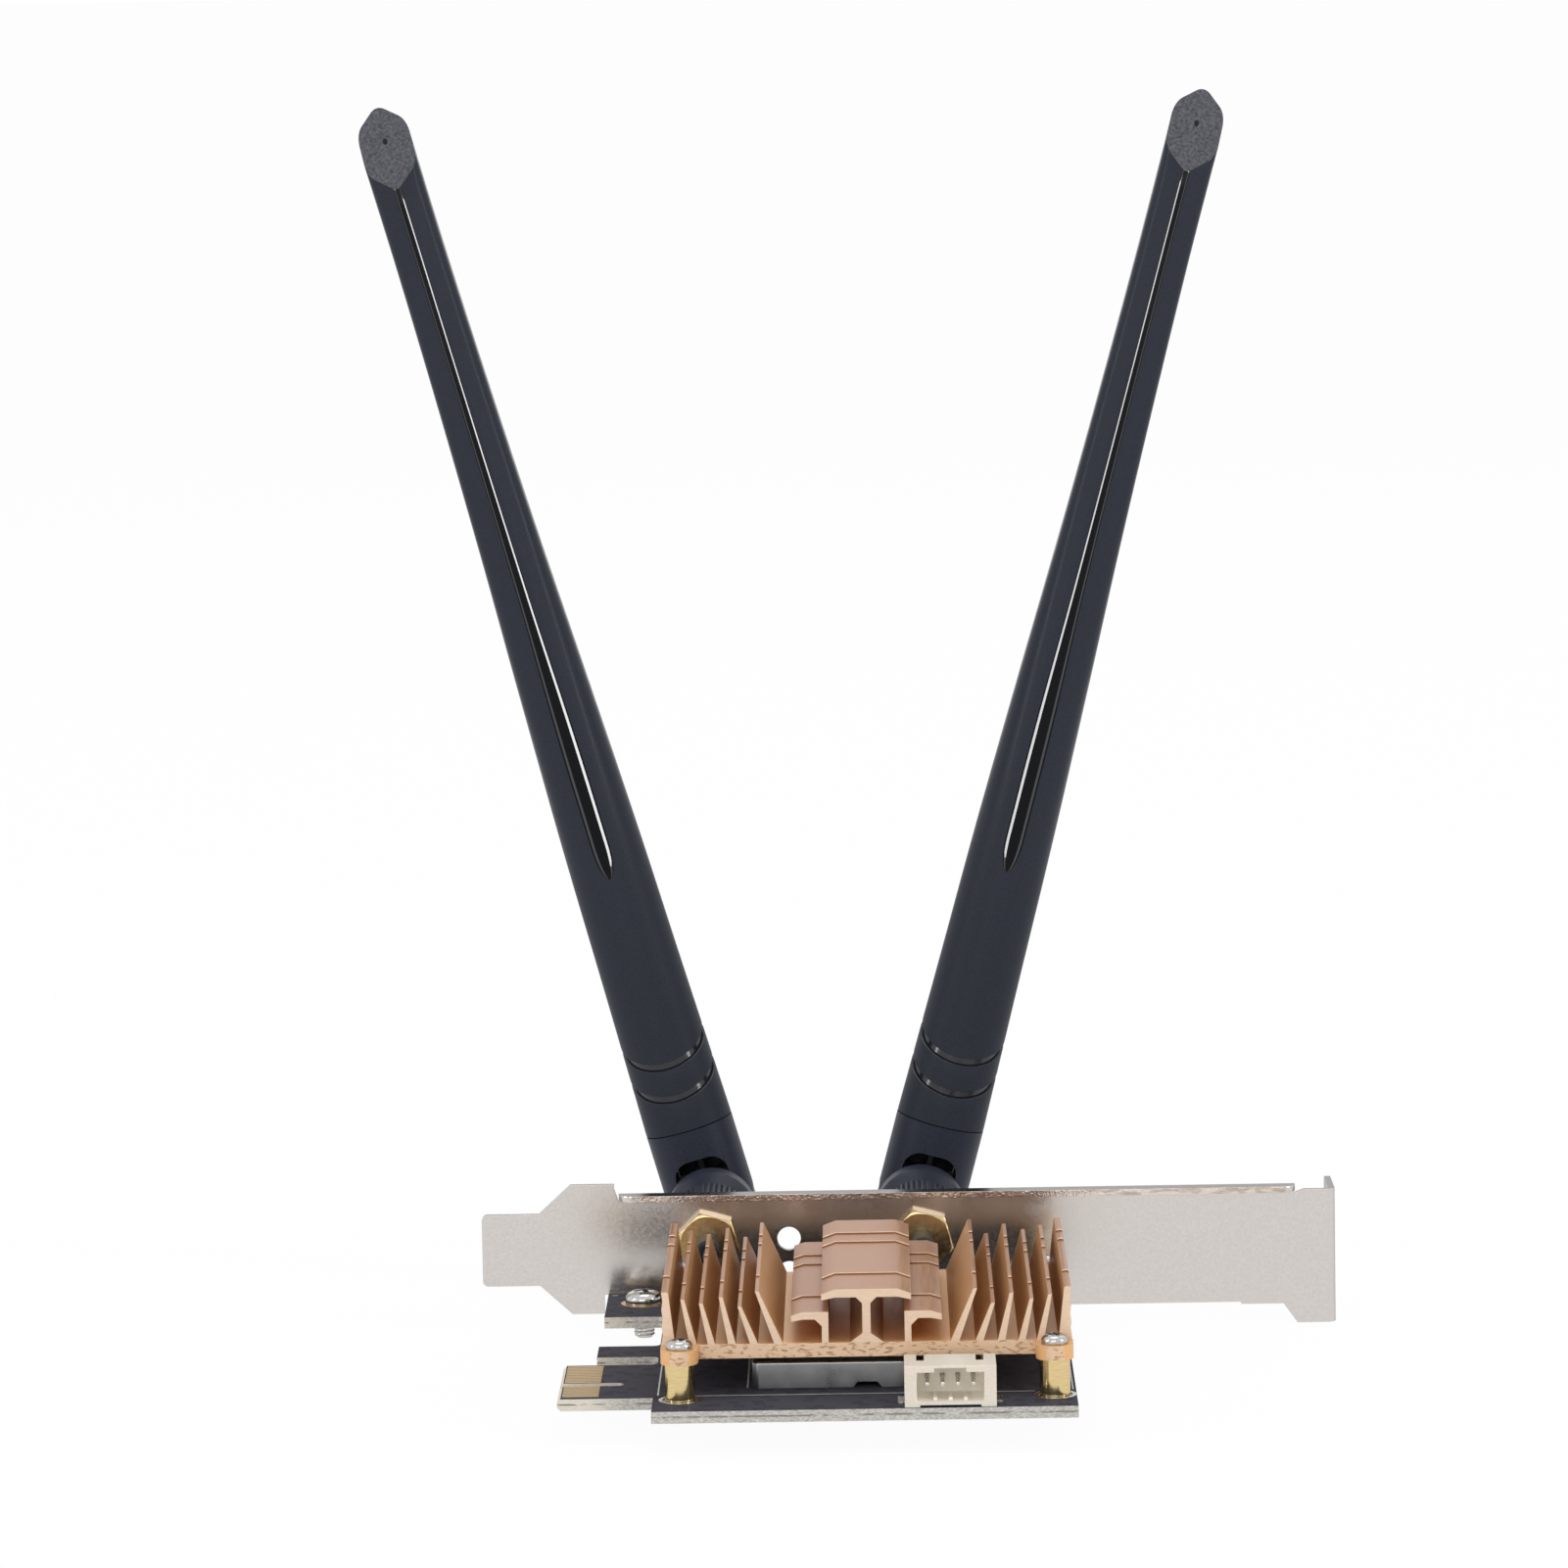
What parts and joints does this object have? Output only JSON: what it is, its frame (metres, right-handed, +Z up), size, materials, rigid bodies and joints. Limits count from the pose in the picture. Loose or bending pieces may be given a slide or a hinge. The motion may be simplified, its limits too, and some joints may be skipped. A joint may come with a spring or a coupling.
{
  "type": "pcie wifi card",
  "caption": "Plug-in wireless network card: black board with edge connector, finned gold heatsink, folded steel bracket and hinged tapered antennas on threaded jacks.",
  "frame": {"origin": "card edge datum: middle of the key, on the finger edge, halfway through the board's thickness", "axes": "+X out of the slot along the bracket, +Y towards the bracket and the antennas, +Z up from the component side"},
  "size_m": [0.1361, 0.1185, 0.1726],
  "materials": {
    "bracket_plate": "satin nickel plate",
    "board_mask": "black glossy solder mask",
    "contact_gold": "gold plate",
    "screw_nickel": "nickel plate",
    "heatsink_anodised": "gold bronze anodised",
    "standoff_brass": "turned brass",
    "can_tin": "tin plate",
    "pad_grey": "soft grey pad",
    "chip_black": "moulded",
    "header_cream": "moulded cream",
    "tin_pin": "tin plate",
    "jack_brass": "gold plate",
    "insulator_white": "white fluoropolymer",
    "boot_black": "shrink sleeve",
    "cable_black": "smooth jacket",
    "antenna_black": "matte blue black",
    "pin_steel": "plain steel",
    "radiator_brass": "bare brass"
  },
  "bodies": {
    "root": {"board_parts": "chip_black", "bracket": "bracket_plate", "bracket_screws": "screw_nickel", "circuit_board": "board_mask", "coax_sockets": "contact_gold", "edge_contacts": "contact_gold", "header_anchors": "tin_pin", "header_housing": "header_cream", "header_pins": "tin_pin", "heatsink": "heatsink_anodised", "heatsink_screws": "screw_nickel", "left_cable_boot": "boot_black", "left_cable_plug": "contact_gold", "left_jack": "jack_brass", "left_jack_contact": "contact_gold", "left_jack_insulator": "insulator_white", "left_jack_nut": "jack_brass", "left_jack_washer": "jack_brass", "left_pigtail": "cable_black", "radio_chip": "chip_black", "radio_parts": "chip_black", "right_cable_boot": "boot_black", "right_cable_plug": "contact_gold", "right_jack": "jack_brass", "right_jack_contact": "contact_gold", "right_jack_insulator": "insulator_white", "right_jack_nut": "jack_brass", "right_jack_washer": "jack_brass", "right_pigtail": "cable_black", "shield_can": "can_tin", "standoffs": "standoff_brass", "thermal_pad": "pad_grey"},
    "left_nut": {"left_coupling_nut": "antenna_black"},
    "left_base": {"left_knuckle": "antenna_black", "left_plug_body": "jack_brass", "left_plug_insert": "insulator_white"},
    "left_antenna": {"left_yoke": "antenna_black", "left_hinge_pins": "pin_steel", "left_sleeve": "antenna_black", "left_radiator": "radiator_brass"},
    "right_nut": {"right_coupling_nut": "antenna_black"},
    "right_base": {"right_knuckle": "antenna_black", "right_plug_body": "jack_brass", "right_plug_insert": "insulator_white"},
    "right_antenna": {"right_yoke": "antenna_black", "right_hinge_pins": "pin_steel", "right_sleeve": "antenna_black", "right_radiator": "radiator_brass"}
  },
  "joints": [
    {"name": "left_nut_spin", "type": "hinge", "parent": "root", "child": "left_nut", "pos_m": [0.01844, 0.09415, 0.00777], "axis": [0, 1, 0], "continuous": true},
    {"name": "left_swivel", "type": "hinge", "parent": "root", "child": "left_base", "pos_m": [0.01844, 0.09415, 0.00777], "axis": [0, 1, 0], "range_deg": [-164.1, 15.9]},
    {"name": "left_fold", "type": "hinge", "parent": "left_base", "child": "left_antenna", "pos_m": [0.01844, 0.09415, 0.00777], "axis": [-0.9617, 0, -0.274], "range_deg": [0, 90]},
    {"name": "right_nut_spin", "type": "hinge", "parent": "root", "child": "right_nut", "pos_m": [0.04844, 0.09415, 0.00777], "axis": [0, 1, 0], "continuous": true},
    {"name": "right_swivel", "type": "hinge", "parent": "root", "child": "right_base", "pos_m": [0.04844, 0.09415, 0.00777], "axis": [0, 1, 0], "range_deg": [-15.1, 164.9]},
    {"name": "right_fold", "type": "hinge", "parent": "right_base", "child": "right_antenna", "pos_m": [0.04844, 0.09415, 0.00777], "axis": [-0.9655, 0, 0.2605], "range_deg": [0, 90]}
  ]
}
